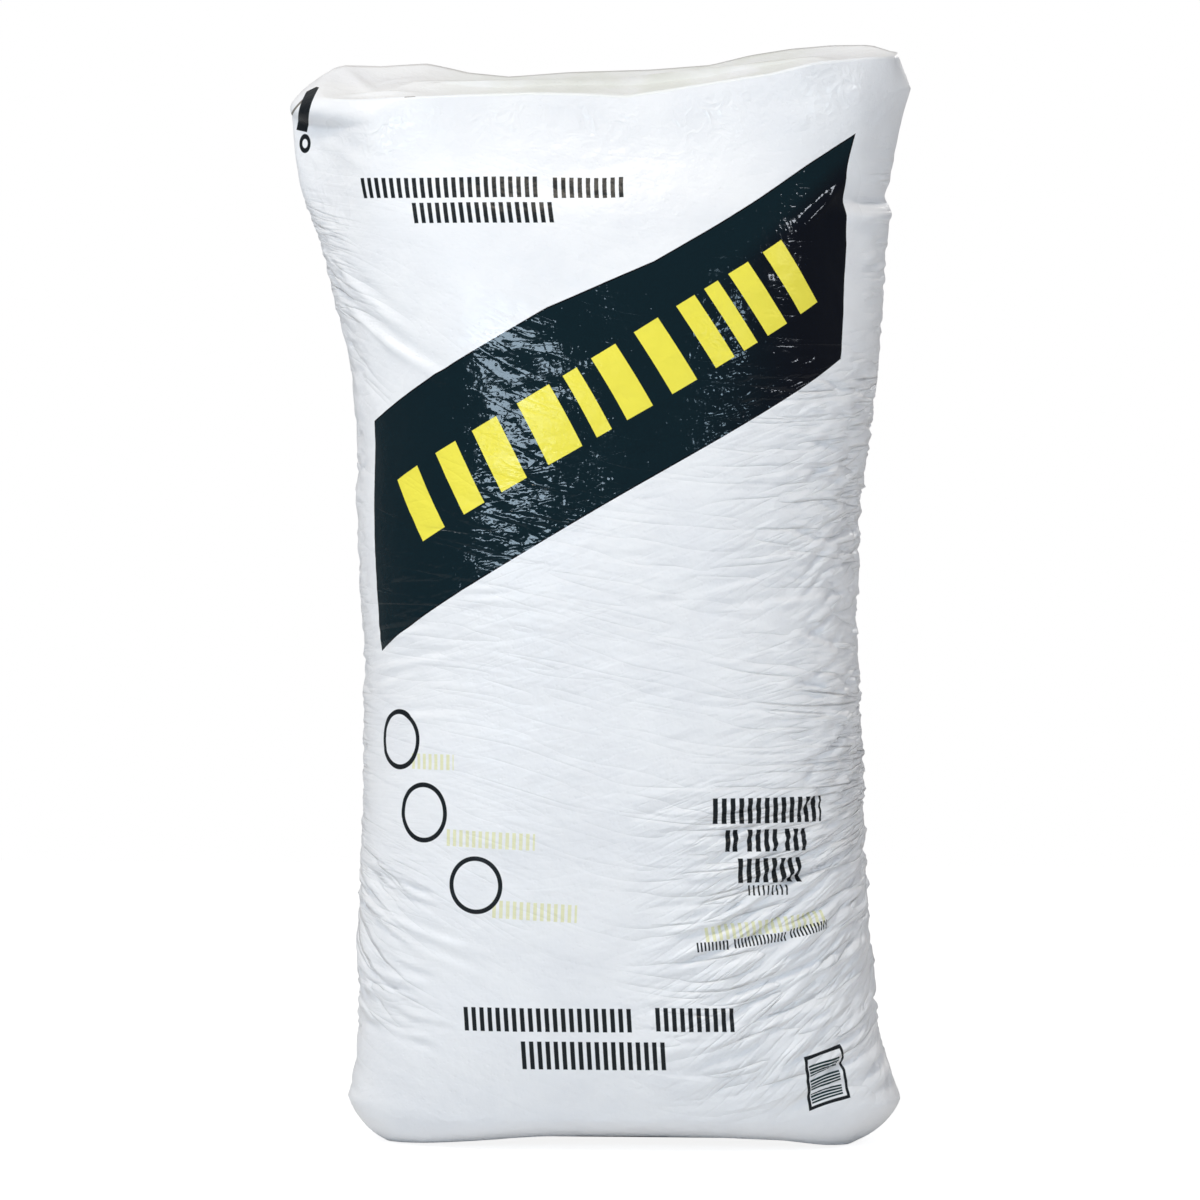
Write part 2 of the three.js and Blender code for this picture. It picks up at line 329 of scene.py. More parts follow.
# Named folds, each as: across, up, turn, length, width, rise, bend, drop
namedFolds = [
    (0.267, 0.555, 6, 0.20, 0.0035, 0.0030, 0.002, 0.9), (0.175, 0.537, 0, 0.10, 0.003, 0.0022, -0.006, 0.9),
    (0.135, 0.516, 14, 0.13, 0.003, 0.0016, 0.002, 0.8), (0.215, 0.502, 4, 0.24, 0.003, 0.0022, 0.002, 0.9),
    (0.228, 0.523, 8, 0.09, 0.003, 0.0020, 0.001, 0.9), (0.243, 0.501, 9, 0.10, 0.003, 0.0020, 0.001, 0.9),
    (0.240, 0.460, -4, 0.16, 0.003, 0.0020, 0.003, 0.9), (0.245, 0.394, -2, 0.26, 0.004, 0.0024, 0.002, 0.9),
    (0.185, 0.244, 20, 0.19, 0.004, 0.0026, -0.003, 0.9), (0.168, 0.243, 24, 0.06, 0.003, 0.0024, 0, 0.9),
    (0.190, 0.164, 17, 0.24, 0.004, 0.0024, -0.004, 0.9), (0.100, 0.168, 18, 0.11, 0.003, 0.0018, 0, 0.9),
    (0.210, 0.172, 17, 0.20, 0.004, 0.0022, 0.002, 0.9), (0.266, 0.222, 11, 0.13, 0.004, 0.0022, 0, 0.9),
    (-0.186, 0.206, -18, 0.18, 0.004, 0.0024, 0.003, 0.9), (-0.178, 0.190, -24, 0.18, 0.004, 0.0022, 0.003, 0.9),
    (-0.208, 0.160, -9, 0.13, 0.003, 0.0016, 0.002, 0.8), (-0.235, 0.146, -3, 0.16, 0.003, 0.0016, 0.002, 0.8),
    (-0.200, 0.730, -30, 0.20, 0.006, 0.0034, 0.004, 0.7), (-0.222, 0.770, -34, 0.14, 0.006, 0.0028, 0.003, 0.7),
    (-0.276, 0.783, -32, 0.08, 0.005, -0.0040, 0.002, 0.5), (0.285, 0.846, 3, 0.15, 0.010, 0.0060, 0.003, 0.9),
    (0.285, 0.8575, 3, 0.13, 0.0055, -0.0040, 0.003, 0.3), (0.214, 0.852, 38, 0.10, 0.005, 0.0030, 0.004, 0.6),
    (-0.225, 0.915, -38, 0.09, 0.009, 0.0016, 0.003, 0.5),
    (-0.182, 0.443, 8, 0.17, 0.004, 0.0018, 0.002, 0.8), (-0.205, 0.425, 14, 0.12, 0.004, 0.0016, 0.002, 0.8),
    (-0.190, 0.468, 9, 0.11, 0.004, 0.0014, 0, 0.8), (-0.100, 0.500, 1, 0.08, 0.003, 0.0014, 0, 0.9),
    (-0.110, 0.510, 1, 0.07, 0.003, 0.0012, 0, 0.9), (-0.170, 0.395, 2, 0.16, 0.004, 0.0014, 0.002, 0.8),
]
# Slope of the folds on the film: height, left half, right half
foldSlopes = np.array([
    (0.00, 0.02, 0.35), (0.10, 0.18, 0.46), (0.15, 0.28, 0.52), (0.20, 0.40, 0.56), (0.25, 0.40, 0.52),
    (0.31, 0.20, 0.36), (0.37, 0.02, 0.12), (0.42, -0.06, 0.04), (0.46, -0.08, 0.08), (0.52, -0.08, 0.20),
    (0.57, 0.00, 0.22), (0.63, 0.14, 0.18), (0.69, 0.29, 0.15), (0.75, 0.42, 0.15), (0.83, 0.34, 0.12),
    (0.90, 0.10, 0.05), (1.10, 0.00, 0.00),
])
# How loose the film lies: left, right, low, high, soft edge across, soft edge up, looseness, and the
# share of short crossing creases among its long folds
looseAreas = [
    (0.16, 0.46, 0.30, 0.72, 0.26, 0.08, 1.00, 0.9), (0.06, 0.46, 0.06, 0.34, 0.16, 0.06, 1.00, 0.15),
    (-0.46, -0.19, 0.11, 0.27, 0.12, 0.05, 0.85, 0.1), (-0.46, -0.265, 0.04, 0.86, 0.13, 0.05, 0.75, 0.3),
    (-0.36, -0.22, 0.66, 0.80, 0.10, 0.06, 0.45, 0.2), (-0.24, 0.10, 0.40, 0.63, 0.12, 0.08, 0.20, 0.5),
    (0.27, 0.46, 0.66, 0.90, 0.05, 0.06, 0.50, 0.7), (0.40, 0.87, 0.06, 0.90, 0.08, 0.06, 0.60, 0.4),
    (-0.28, 0.20, 0.18, 0.46, 0.12, 0.12, 0.13, 0.4),
]
plainLooseness = 0.05
foldReach = 0.36


# Place across measured the short way round from the middle of the front
def acrossFromFront(across):
    return (across + tube["girth"] / 2) % tube["girth"] - tube["girth"] / 2


# Height carried along the folds: v = z - slope * reach/pi (1 - cos(pi |x| / reach)), so that lines
# of equal v run the way the folds do. The slope changes from the left half's to the right half's.
def foldHeight(across, up):
    x = acrossFromFront(across)
    side = 0.5 + 0.5 * np.tanh(4 * np.sin(2 * np.pi * x / tube["girth"]))
    left, right = (np.interp(up, foldSlopes[:, 0], foldSlopes[:, half]) for half in (1, 2))
    slope = left[:, None] * (1 - side) + right[:, None] * side
    sweep = foldReach / np.pi * (1 - np.cos(np.pi * np.minimum(np.abs(x), foldReach) / foldReach))
    return up[:, None] - slope * sweep


# Share from 0 to 1 inside a span: a soft step up at its low edge and one down at its high edge
def softSpan(x, low, high, soft):
    return smoothStep(x, low - soft / 2, low + soft / 2) * (1 - smoothStep(x, high - soft / 2, high + soft / 2))


# Looseness of the film and its share of crossing creases: for each area the product of its soft
# spans across and up, the greatest winning
def looseness(across, up):
    x = acrossFromFront(across)
    total = np.full((len(up), len(across)), plainLooseness)
    crossing = np.zeros_like(total)
    for left, right, low, high, softX, softZ, amount, share in looseAreas:
        for turn in (0, tube["girth"]):
            dx, dz = softSpan(x + turn, left, right, softX), softSpan(up, low, high, softZ)
            here = amount * dz[:, None] * dx
            crossing += here * share
            total = np.maximum(total, here)
    return total, np.clip(crossing / total, 0, 1)


# Gradient noise from -1 to 1 on a lattice that repeats after a number of cells round the bag
def roundNoise(share, height, cells, perMetre, seed):
    pick = np.random.default_rng(seed)
    u, v = share * cells, height * perMetre + 40
    u0, v0 = np.floor(u).astype(int), np.floor(v).astype(int)
    way = pick.uniform(0, 2 * np.pi, (cells, int(v.max()) + 3))
    fu, fv = u - u0, v - v0

    def corner(du, dv):
        angle = way[(u0 + du) % cells, v0 + dv]
        return np.cos(angle) * (fu - du) + np.sin(angle) * (fv - dv)

    su, sv = (t * t * t * (t * (t * 6 - 15) + 10) for t in (fu, fv))
    low = corner(0, 0) * (1 - su) + corner(1, 0) * su
    high = corner(0, 1) * (1 - su) + corner(1, 1) * su
    return 1.4 * (low * (1 - sv) + high * sv)


# Ridge of 1 - (2.3 |noise|)^0.85, sharp where the noise changes sign and nought away from there
def ridges(noise):
    return 1 - np.minimum(np.abs(noise) * 2.3, 1) ** 0.85


# Layers of folds: cells round the bag, cells a metre up the carried height, slope added to it,
# rise (below nought for thin valleys between pillows), share of the long folds, share of the
# crossing creases, seed
foldLayers = [
    (9, 26, 0.00, 0.0022, 1.0, 0.0, 24), (14, 44, 0.03, -0.0032, 1.0, 0.2, 25),
    (22, 52, 0.20, -0.0015, 0.15, 1.0, 26), (25, 58, -0.30, -0.0012, 0.05, 1.0, 27),
    (40, 100, 0.05, -0.0013, 0.9, 0.9, 28),
]
# Soft lumps of the filling: cells round the bag, cells a metre up, rise, seed
lumps = [(9, 7, 0.0030, 22), (22, 20, 0.0008, 23), (70, 62, 0.00035, 29)]
wandering = {"cells": 14, "perMetre": 11, "reach": 0.008, "seed": 21}  # how far fold lines stray
gridShare, gridUp = np.meshgrid(columnShare, filmUp)
carried = foldHeight(filmAcross, filmUp)
loose, crossing = looseness(filmAcross, filmUp)
wander = roundNoise(gridShare, gridUp, wandering["cells"], wandering["perMetre"], wandering["seed"])
wander *= wandering["reach"]
relief = np.zeros_like(gridUp)
for cells, perMetre, rise, seed in lumps:
    relief += roundNoise(gridShare, gridUp, cells, perMetre, seed) * rise
sweepAcross = tube["girth"] / 2 / np.pi * np.sin(2 * np.pi * gridShare)
for cells, perMetre, slope, rise, longShare, crossShare, seed in foldLayers:
    lines = ridges(roundNoise(gridShare, carried + wander + slope * sweepAcross, cells, perMetre, seed))
    relief += loose * rise * (longShare + (crossShare - longShare) * crossing) * lines
for fold in namedFolds:
    for turn in (0, tube["girth"]):
        addStroke(relief, filmAcross, filmUp, (fold[0] + turn, *fold[1:]))
# Scattered creases by area: left, right, low, high, how many, least length, longest, spread of the
# turn in degrees, depth
creaseAreas = [
    (0.19, 0.34, 0.30, 0.70, 150, 0.025, 0.070, 27, 0.0035), (0.02, 0.21, 0.34, 0.62, 45, 0.04, 0.10, 12, 0.0009),
    (0.08, 0.34, 0.06, 0.30, 90, 0.05, 0.13, 8, 0.0037), (0.26, 0.34, 0.68, 0.84, 24, 0.02, 0.05, 20, 0.0016),
    (-0.33, -0.25, 0.10, 0.86, 90, 0.02, 0.05, 14, 0.0018), (-0.33, -0.17, 0.10, 0.26, 40, 0.05, 0.11, 8, 0.0018),
    (0.34, 0.93, 0.08, 0.88, 260, 0.03, 0.09, 18, 0.0017),
]
# Ranges for one scattered crease: shares of the spread and of the depth, width, bend; and the share
# of the ridge that stands beside each valley
scattered = {
    "turned": (0.4, 1), "deepened": (0.5, 1.2), "width": (0.0026, 0.0036), "bend": (-0.003, 0.003),
    "beside": 0.6,
}


# Turn of the folds at a place: the slope of the lines of equal carried height
def foldTurn(x, up):
    side = acrossFromFront(x)
    slope = np.interp(up, foldSlopes[:, 0], foldSlopes[:, 2 if side > 0 else 1])
    sweep = math.sin(math.pi * min(abs(side), foldReach) / foldReach)
    return math.degrees(math.atan(slope * sweep)) * (1 if side > 0 else -1)


scatter = np.random.default_rng(31)
for left, right, low, high, count, short, long, spread, depth in creaseAreas:
    for _ in range(count):
        x, z = scatter.uniform(left, right), scatter.uniform(low, high)
        turn = foldTurn(x, z) + spread * scatter.choice((-1, 1)) * scatter.uniform(*scattered["turned"])
        length, width = scatter.uniform(short, long), scatter.uniform(*scattered["width"])
        deep, bend = depth * scatter.uniform(*scattered["deepened"]), scatter.uniform(*scattered["bend"])
        crease = (z, turn, length, width, -deep, bend, scattered["beside"])
        for around in (0, tube["girth"]):
            addStroke(relief, filmAcross, filmUp, (x + around, *crease))
# The folds fade in from the floor up to this height, and out over these rows under and over the brim
fading = {"foot": 0.05, "under": 12, "over": 4}
brimFade = smoothStep(np.arange(rowCount), firstTop - fading["under"], firstTop + fading["over"])
fade = smoothStep(filmUp, 0.0, fading["foot"]) * (1 - brimFade)
bagGrid = smoothBag + gridNormals(smoothBag) * (relief * fade[:, None])[:, :, None]
bagGrid[:, :, 2] = np.maximum(bagGrid[:, :, 2], 0)
filledBag = gridMesh("filled_film", bagGrid, filmAcross, filmUp)


# A number at each point of the bag's mesh, for the film's bump to read
def addNumbers(name, grid):
    values = np.concatenate([grid.ravel(), grid[:1].mean(axis=1), grid[-1:].mean(axis=1)])
    filledBag.data.attributes.new(name, "FLOAT", "POINT").data.foreach_set("value", values.astype(np.float32))


# Patches where the film is smooth and glossy: across, up, half width, half height, gloss, crinkles
glossPatches = [
    (-0.190, 0.940, 0.050, 0.040, 1.0, 0.9), (-0.265, 0.870, 0.035, 0.050, 0.8, 0.7),
    (-0.080, 0.955, 0.045, 0.035, 1.0, 1.0), (0.000, 0.955, 0.050, 0.035, 0.9, 1.0),
    (0.105, 0.945, 0.045, 0.040, 0.9, 1.0), (0.210, 0.960, 0.035, 0.040, 0.9, 1.0),
    (-0.095, 0.715, 0.075, 0.060, 1.0, 0.12), (-0.060, 0.610, 0.050, 0.050, 0.7, 0.35),
    (-0.160, 0.690, 0.040, 0.030, 0.6, 0.3), (0.095, 0.735, 0.030, 0.025, 0.6, 0.6),
    (0.125, 0.685, 0.030, 0.030, 0.6, 0.6), (0.225, 0.858, 0.035, 0.035, 1.0, 0.1),
]


# Gloss and crinkles of the film: a soft spot exp(-(x/width)^2 - (z/height)^2) for each patch
def glossAndCrinkles(across, up):
    x = acrossFromFront(across)
    gloss, crinkles = np.zeros((2, len(up), len(across)))
    for px, pz, width, height, shine, crinkled in glossPatches:
        spot = np.exp(-(((up - pz) / height) ** 2))[:, None] * np.exp(-(((x - px) / width) ** 2))
        gloss, crinkles = np.maximum(gloss, shine * spot), np.maximum(crinkles, crinkled * spot)
    return gloss, crinkles


addNumbers("carried_height", carried)
addNumbers("looseness", loose * fade[:, None])
for name, values in zip(("gloss", "crinkles"), glossAndCrinkles(filmAcross, filmUp)):
    addNumbers(name, values)
print("bag mesh made")


# Gives a node its inputs; one that is a socket is linked
def setInputs(tree, node, inputs):
    for key, value in inputs.items():
        if isinstance(value, bpy.types.NodeSocket):
            tree.links.new(value, node.inputs[key])
        else:
            node.inputs[key].default_value = value
    return node


# Adds a node of one kind, with its settings and inputs
def addNode(tree, kind, inputs=None, **settings):
    made = tree.nodes.new(kind)
    for key, value in settings.items():
        setattr(made, key, value)
    return setInputs(tree, made, inputs or {})


def calc(tree, operation, a, b=0.0, c=0.0, clamp=False):
    inputs = {0: a, 1: b, 2: c}
    return addNode(tree, "ShaderNodeMath", inputs, operation=operation, use_clamp=clamp).outputs[0]


def splitXYZ(tree, vector):
    return addNode(tree, "ShaderNodeSeparateXYZ", {0: vector}).outputs


def mixColour(tree, share, a, b):
    return addNode(tree, "ShaderNodeMix", {0: share, 6: a, 7: b}, data_type="RGBA").outputs[2]


# Smooth step between two values, as a node
def ramp(tree, value, low, high):
    inputs = {"Value": value, "From Min": low, "From Max": high}
    return addNode(tree, "ShaderNodeMapRange", inputs, interpolation_type="SMOOTHSTEP").outputs[0]


def highest(tree, masks):
    total = masks[0]
    for mask in masks[1:]:
        total = calc(tree, "MAXIMUM", total, mask)
    return total


# A node group with these inputs and outputs, and its two end nodes
def newGroup(name, inputs, outputs):
    tree = bpy.data.node_groups.new(name, "ShaderNodeTree")
    for key, kind in inputs.items():
        tree.interface.new_socket(key, in_out="INPUT", socket_type="NodeSocket" + kind)
    for key, kind in outputs.items():
        tree.interface.new_socket(key, in_out="OUTPUT", socket_type="NodeSocket" + kind)
    return tree, tree.nodes.new("NodeGroupInput").outputs, tree.nodes.new("NodeGroupOutput").inputs


def useGroup(tree, group, inputs, output=0):
    made = tree.nodes.new("ShaderNodeGroup")
    made.node_tree = group
    return setInputs(tree, made, inputs).outputs[output]


inkEdge = 0.0004  # softness of a printed edge


# Place on the film measured from a printed shape's middle, turned with it
def localPlace(tree, sockets):
    inputs = {"Vector": sockets["Place"], "Location": sockets["Middle"], "Rotation": sockets["Turn"]}
    moved = addNode(tree, "ShaderNodeMapping", inputs, vector_type="TEXTURE").outputs[0]
    parts = splitXYZ(tree, moved)
    return parts[0], parts[1]


# Mask of 1 inside, where the distance outside an edge is below nought
def insideMask(tree, distance):
    return calc(tree, "MULTIPLY_ADD", distance, -1 / inkEdge, 0.5, clamp=True)


# Distance outside a box: the greater of |x| - half width and |y| - half height
def boxDistance(tree, x, y, size):
    half = splitXYZ(tree, size)
    dx = calc(tree, "SUBTRACT", calc(tree, "ABSOLUTE", x), half[0])
    dy = calc(tree, "SUBTRACT", calc(tree, "ABSOLUTE", y), half[1])
    return calc(tree, "MAXIMUM", dx, dy)


shapeInputs = {"Place": "Vector", "Middle": "Vector", "Turn": "Vector", "Half Size": "Vector"}


def makeBlock():
    tree, into, out = newGroup("printed_block", shapeInputs, {"Mask": "Float"})
    x, y = localPlace(tree, into)
    tree.links.new(insideMask(tree, boxDistance(tree, x, y, into["Half Size"])), out["Mask"])
    return tree


# Upright ticks in a row: the box, cut by the distance to the middle of each pitch
def makeTicks():
    inputs = shapeInputs | {"Pitch": "Float", "Tick": "Float"}
    tree, into, out = newGroup("printed_ticks", inputs, {"Mask": "Float"})
    x, y = localPlace(tree, into)
    box = boxDistance(tree, x, y, into["Half Size"])
    start = splitXYZ(tree, into["Half Size"])[0]
    step = calc(tree, "FRACT", calc(tree, "DIVIDE", calc(tree, "ADD", x, start), into["Pitch"]))
    off = calc(tree, "MULTIPLY", calc(tree, "ABSOLUTE", calc(tree, "SUBTRACT", step, 0.5)), into["Pitch"])
    tick = calc(tree, "SUBTRACT", off, calc(tree, "MULTIPLY", into["Tick"], 0.5))
    tree.links.new(insideMask(tree, calc(tree, "MAXIMUM", box, tick)), out["Mask"])
    return tree


# Ring: the distance from its oval line, less half the line's width
def makeRing():
    tree, into, out = newGroup("printed_ring", shapeInputs | {"Line": "Float"}, {"Mask": "Float"})
    x, y = localPlace(tree, into)
    half = splitXYZ(tree, into["Half Size"])
    stretched = calc(tree, "MULTIPLY", y, calc(tree, "DIVIDE", half[0], half[1]))
    squares = calc(tree, "MULTIPLY", x, x), calc(tree, "MULTIPLY", stretched, stretched)
    far = calc(tree, "SQRT", calc(tree, "ADD", *squares))
    off = calc(tree, "ABSOLUTE", calc(tree, "SUBTRACT", far, half[0]))
    halfLine = calc(tree, "MULTIPLY", into["Line"], 0.5)
    tree.links.new(insideMask(tree, calc(tree, "SUBTRACT", off, halfLine)), out["Mask"])
    return tree


block, ticks, ring = makeBlock(), makeTicks(), makeRing()

# Print on the front, in metres on the film. Ticks: middle, half size, pitch, tick, turn in degrees.
darkTicks = [
    ((-0.128, 0.878), (0.085, 0.0105), 0.0074, 0.0040, 0), ((0.002, 0.877), (0.034, 0.0105), 0.0074, 0.0040, 0),
    ((-0.097, 0.852), (0.067, 0.0105), 0.0074, 0.0040, 0),
    ((-0.055, 0.123), (0.078, 0.0105), 0.0074, 0.0040, 0), ((0.077, 0.124), (0.036, 0.0105), 0.0074, 0.0040, 0),
    ((-0.015, 0.095), (0.067, 0.0100), 0.0074, 0.0040, 0),
    ((0.151, 0.312), (0.054, 0.0115), 0.0080, 0.0044, 0),
    ((0.116, 0.285), (0.007, 0.0100), 0.0070, 0.0044, 0), ((0.145, 0.285), (0.016, 0.0100), 0.0080, 0.0044, 0),
    ((0.177, 0.285), (0.012, 0.0100), 0.0080, 0.0044, 0),
    ((0.151, 0.258), (0.031, 0.0110), 0.0080, 0.0044, 0), ((0.150, 0.240), (0.020, 0.0045), 0.0044, 0.0016, 0),
    ((0.097, 0.190), (0.015, 0.0042), 0.0034, 0.0016, 4), ((0.141, 0.195), (0.025, 0.0042), 0.0034, 0.0016, 7),
    ((0.190, 0.204), (0.021, 0.0042), 0.0034, 0.0016, 11),
]
paleTicks = [
    ((-0.160, 0.354), (0.023, 0.0070), 0.0062, 0.0032, 0), ((-0.103, 0.285), (0.042, 0.0075), 0.0062, 0.0032, -2),
    ((-0.063, 0.221), (0.039, 0.0080), 0.0062, 0.0032, -3), ((0.147, 0.207), (0.058, 0.0065), 0.0062, 0.0030, 7),
]
# Frame at the lower right, its upright lines true and its level ones on a slope, with bars in it
barFrame = {
    "middle": (0.1963, 0.0731), "half": (0.0205, 0.0222), "line": 0.0029, "slope": 0.20,
    "bars": [(0.195, 0.0828), (0.195, 0.0714), (0.195, 0.0596)], "barHalf": (0.0042, 0.0155),
    "pitch": 0.0022, "bar": 0.0015,
}
# Plain marks on the left ear, placed by X and Z, with the depth behind which they end
earMarks = {
    "bar": ((-0.2866, 0.9490), (0.0056, 0.0215), -14), "ring": ((-0.2885, 0.9165), (0.0042, 0.0065)),
    "line": 0.0030, "depth": 0.022,
}
# Painted shade of the valve's mouth, a dark slit up from the ear's tip, and of the tuck in the front
# top crease, a dark line along it
mouth = {
    "slit": ((-0.2945, 0.9515), (0.0110, 0.0011), 46), "tuckShade": ((-0.1840, 0.9560), (0.0050, 0.0011), 3),
}
rings = [((-0.197, 0.373), (0.022, 0.025)), ((-0.168, 0.308), (0.023, 0.025)), ((-0.116, 0.244), (0.023, 0.024))]
ringLine = 0.004
# Edges of the band as straight lines, slope and start, with a bend in the top one; the right edge
# ends upright at the corner
band = {
    "left": (-0.0611, -0.1923), "right": (0.128, 0.1365), "bottom": (0.5917, 0.582), "top": (0.551, 0.789),
    "corner": 0.2415, "dip": (-0.141, -0.047, 0.10), "outline": 0.0013, "squareToEdge": 0.86,
}
# Ink on the right of the band is darker: between these places across, below a sloping line
darkEnd = {"across": (0.06, 0.19), "slope": 0.75, "start": 0.71, "below": (-0.01, 0.02)}
# Yellow row on the band: where it starts, its turn, and each block's place along it and width
yellowRow = {"start": (-0.1850, 0.5765), "turn": 30.5, "height": 0.064, "blocks": [
    (0.020, 0.026), (0.066, 0.022), (0.108, 0.026), (0.160, 0.034), (0.199, 0.015), (0.235, 0.026),
    (0.281, 0.026), (0.324, 0.020), (0.352, 0.015), (0.382, 0.022), (0.421, 0.022),
]}


# Colours of the film and the inks, and of the painted shade on the top panel and in the valve's slit and tuck
colours = {
    "film": ((0.830, 0.836, 0.860, 1), (0.865, 0.868, 0.885, 1)),
    "panelShade": (0.715, 0.728, 0.695, 1),
    "band": (0.0020, 0.0125, 0.0185, 1),
    "bandDark": (0.0008, 0.0022, 0.0065, 1),
    "bandOutline": (0.002, 0.003, 0.005, 1),
    "yellow": (0.865, 0.770, 0.080, 1),
    "pale": (0.79, 0.78, 0.516, 1),
    "black": (0.006, 0.009, 0.012, 1),
    "bars": (0.012, 0.035, 0.035, 1),
    "slit": (0.20, 0.185, 0.165, 1),
}


# Distance inside the band: the least of the distances to its four edges
def bandDistance(tree, x, y):
    slope, start, reach = band["dip"]
    past = calc(tree, "MAXIMUM", calc(tree, "SUBTRACT", x, start), 0.0)
    dip = calc(tree, "MULTIPLY", calc(tree, "MINIMUM", past, reach), slope)
    top = calc(tree, "ADD", calc(tree, "MULTIPLY_ADD", x, band["top"][0], band["top"][1]), dip)
    bottom = calc(tree, "MULTIPLY_ADD", x, *band["bottom"])
    left = calc(tree, "MULTIPLY_ADD", y, *band["left"])
    right = calc(tree, "MINIMUM", calc(tree, "MULTIPLY_ADD", y, *band["right"]), band["corner"])
    gaps = [
        calc(tree, "MULTIPLY", calc(tree, "SUBTRACT", top, y), band["squareToEdge"]),
        calc(tree, "MULTIPLY", calc(tree, "SUBTRACT", y, bottom), band["squareToEdge"]),
        calc(tree, "SUBTRACT", x, left), calc(tree, "SUBTRACT", right, x),
    ]
    least = gaps[0]
    for gap in gaps[1:]:
        least = calc(tree, "MINIMUM", least, gap)
    return least


# Front print: colour of the film with its ink, and the mask of the glossy dark ink
def makePrint():
    inputs = {"Place": "Vector", "Object Place": "Vector", "Film": "Color"}
    tree, into, out = newGroup("front_print", inputs, {"Color": "Color", "Ink": "Float"})
    x, y = splitXYZ(tree, into["Place"])[:2]
    inside = bandDistance(tree, x, y)
    bandMask = calc(tree, "MULTIPLY_ADD", inside, 1 / inkEdge, 0.5, clamp=True)
    inner = calc(tree, "SUBTRACT", inside, band["outline"])
    teal = calc(tree, "MULTIPLY_ADD", inner, 1 / inkEdge, 0.5, clamp=True)
    below = calc(tree, "SUBTRACT", calc(tree, "MULTIPLY_ADD", x, darkEnd["slope"], darkEnd["start"]), y)
    deep = calc(tree, "MULTIPLY", ramp(tree, x, *darkEnd["across"]), ramp(tree, below, *darkEnd["below"]))
    bandInk = mixColour(tree, deep, colours["band"], colours["bandDark"])
    bandInk = mixColour(tree, teal, colours["bandOutline"], bandInk)
    slope, middleX = barFrame["slope"], barFrame["middle"][0]
    slanted = calc(tree, "SUBTRACT", y, calc(tree, "MULTIPLY_ADD", x, slope, -slope * middleX))
    slantedPlace = addNode(tree, "ShaderNodeCombineXYZ", {0: x, 1: slanted}).outputs[0]

    def shape(group, middle, half, turn=0, place=into["Place"], **extra):
        turned = (0, 0, math.radians(turn))
        inputs = {"Place": place, "Middle": (*middle, 0), "Half Size": (*half, 0), "Turn": turned}
        return useGroup(tree, group, inputs | extra)

    def tickRows(rows):
        return highest(tree, [shape(ticks, m, h, turn, Pitch=pitch, Tick=tick) for m, h, pitch, tick, turn in rows])

    turn = math.radians(yellowRow["turn"])
    along, wide = np.array([math.cos(turn), math.sin(turn)]), yellowRow["height"] / 2
    yellow = highest(tree, [
        shape(block, np.array(yellowRow["start"]) + along * at, (width / 2, wide), yellowRow["turn"])
        for at, width in yellowRow["blocks"]
    ])
    dark = highest(tree, [tickRows(darkTicks)] + [shape(ring, m, h, Line=ringLine) for m, h in rings])
    solid = splitXYZ(tree, into["Object Place"])
    earPlace = addNode(tree, "ShaderNodeCombineXYZ", {0: solid[0], 1: solid[2]}).outputs[0]
    earRing = shape(ring, *earMarks["ring"], 0, earPlace, Line=earMarks["line"])
    marks = calc(tree, "MAXIMUM", shape(block, *earMarks["bar"], earPlace), earRing)
    front = calc(tree, "LESS_THAN", solid[1], earMarks["depth"])
    dark = calc(tree, "MAXIMUM", dark, calc(tree, "MULTIPLY", marks, front))
    # painted shade: dark in the valve's mouth and along the tuck in the front top crease
    slit = calc(tree, "MAXIMUM", shape(block, *mouth["slit"], earPlace), shape(block, *mouth["tuckShade"], earPlace))
    slit = calc(tree, "MULTIPLY", slit, front)
    pale = tickRows(paleTicks)
    barSizes = {"Pitch": barFrame["pitch"], "Tick": barFrame["bar"]}
    bars = highest(tree, [
        shape(ticks, m, barFrame["barHalf"], 90, slantedPlace, **barSizes) for m in barFrame["bars"]
    ])
    inHalf = tuple(side - barFrame["line"] for side in barFrame["half"])
    halves = barFrame["half"], inHalf
    frameOut, frameIn = (shape(block, barFrame["middle"], half, 0, slantedPlace) for half in halves)
    frameLine = calc(tree, "SUBTRACT", frameOut, frameIn, clamp=True)
    # the painted shade of the slit and tuck goes on the film under the band
    colour = mixColour(tree, bandMask, mixColour(tree, slit, into["Film"], colours["slit"]), bandInk)
    colour = mixColour(tree, yellow, colour, colours["yellow"])
    colour = mixColour(tree, pale, colour, colours["pale"])
    colour = mixColour(tree, calc(tree, "MAXIMUM", dark, frameLine), colour, colours["black"])
    colour = mixColour(tree, bars, colour, colours["bars"])
    tree.links.new(colour, out["Color"])
    tree.links.new(calc(tree, "SUBTRACT", bandMask, yellow, clamp=True), out["Ink"])
    return tree


# Heights of the film's relief in metres. Folds: cells a metre round the bag, cells a metre up, how
# far they fall from the middle of the front to the right crease, narrowness, sharpness, seed.
# Grains: on plain film, and the change where it is glossy.
reliefSizes = {
    "small": 0.0023, "smallFolds": (9, 70, 0.05, 8.0, 0.65, 3.0),
    "thin": 0.0008, "thinFolds": (18, 125, -0.06, 7.0, 0.7, 11.0),
    "pits": 0.00011, "crinkles": -0.0010, "grains": 0.0008, "glossGrains": -0.0006,
}


